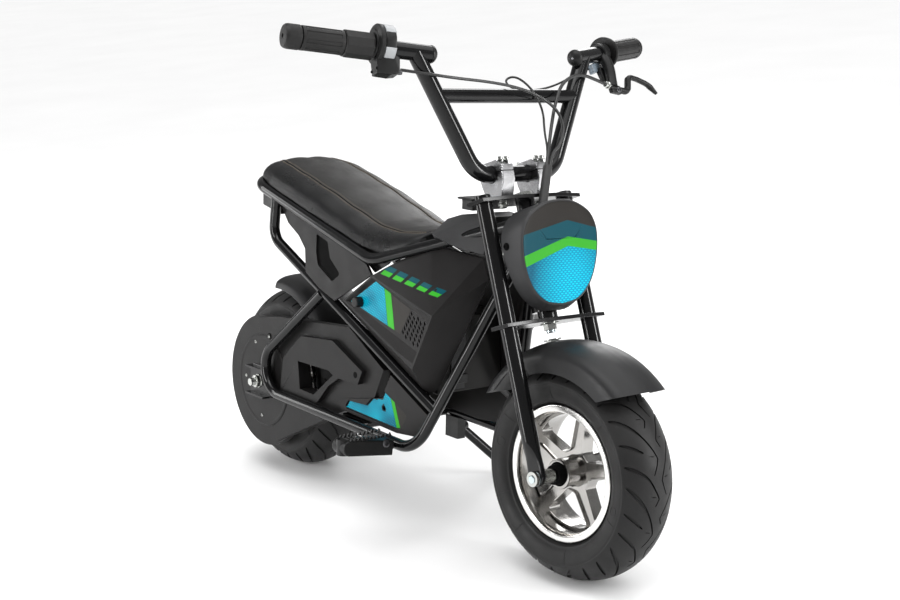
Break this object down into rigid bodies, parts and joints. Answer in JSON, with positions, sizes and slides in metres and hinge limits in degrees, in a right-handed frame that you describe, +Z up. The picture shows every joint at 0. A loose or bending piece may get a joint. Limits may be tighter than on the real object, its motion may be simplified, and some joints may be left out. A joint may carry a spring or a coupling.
{
  "type": "electric minibike",
  "caption": "Small electric motorcycle with tubular frame, padded seat, rigid fork, spoked wheels with road tyres, moulded side covers and wide bars, leaning on its side stand.",
  "frame": {"origin": "middle of the bounding box on the floor", "axes": "+X forward, +Y to the rider's left, +Z up; the bike leans left on its side stand"},
  "size_m": [0.935, 0.6261, 0.7392],
  "materials": {
    "tube": "gloss black powder coat",
    "cover_plastic": "satin moulded plastic, nearly black",
    "grey_plastic": "matte dark grey moulded plastic",
    "vinyl": "black vinyl with a stitched seam",
    "polished": "polished cast aluminium",
    "tread": "black road tyre",
    "grip": "black rubber",
    "control_plastic": "black moulded plastic",
    "zinc": "zinc plated or black steel",
    "power": "black casings"
  },
  "bodies": {
    "frame": {"head_tube": "tube", "frame_rails": "tube", "frame_loops": "tube", "seat_rails": "tube", "frame_cross_tubes": "tube", "dropouts": "tube", "rear_axle": "zinc", "battery_box": "power", "motor": "power", "battery_tray": "zinc", "drive_chain": "zinc", "motor_sprocket": "zinc", "chain_cover": "cover_plastic", "rear_brake": "zinc", "side_fairings": "cover_plastic", "lower_panels": "cover_plastic", "wing_panels": "cover_plastic", "tank_cover": "grey_plastic", "rear_fender": "grey_plastic", "tail_piece": "cover_plastic", "seat_pad": "vinyl", "seat_base": "cover_plastic", "foot_pegs": "zinc", "stand_bracket": "tube", "control_box": "control_plastic"},
    "steering": {"steerer": "tube", "fork_clamps": "tube", "fork_legs": "tube", "front_axle": "zinc", "front_fender": "grey_plastic", "number_board": "grey_plastic", "handlebar": "tube", "throttle_grip": "grip", "grip_left": "grip", "throttle_housing": "control_plastic", "brake_lever": "control_plastic", "bar_clamps": "polished", "cable_sleeve": "grip", "control_cables": "grip"},
    "front_wheel": {"front_rim": "polished", "front_tyre": "tread"},
    "rear_wheel": {"rear_rim": "polished", "rear_tyre": "tread", "rear_sprocket": "zinc"},
    "side_stand": {"side_stand": "tube"}
  },
  "joints": [
    {"name": "steering_turn", "type": "hinge", "parent": "frame", "child": "steering", "pos_m": [0.32668, -0.06111, 0.14], "axis": [-0.3392, 0.1228, 0.9327], "range_deg": [-38.4, 31.6]},
    {"name": "front_wheel_spin", "type": "hinge", "parent": "steering", "child": "front_wheel", "pos_m": [0.32668, -0.06111, 0.14], "axis": [-0.0558, 0.9871, -0.1502], "continuous": true},
    {"name": "rear_wheel_spin", "type": "hinge", "parent": "frame", "child": "rear_wheel", "pos_m": [-0.32662, -0.06108, 0.14025], "axis": [0, 0.9914, -0.1305], "continuous": true},
    {"name": "side_stand_fold", "type": "hinge", "parent": "frame", "child": "side_stand", "pos_m": [-0.04163, 0.0249, 0.08848], "axis": [-0.2999, 0.9503, 0.0838], "range_deg": [0, 122.1]}
  ]
}
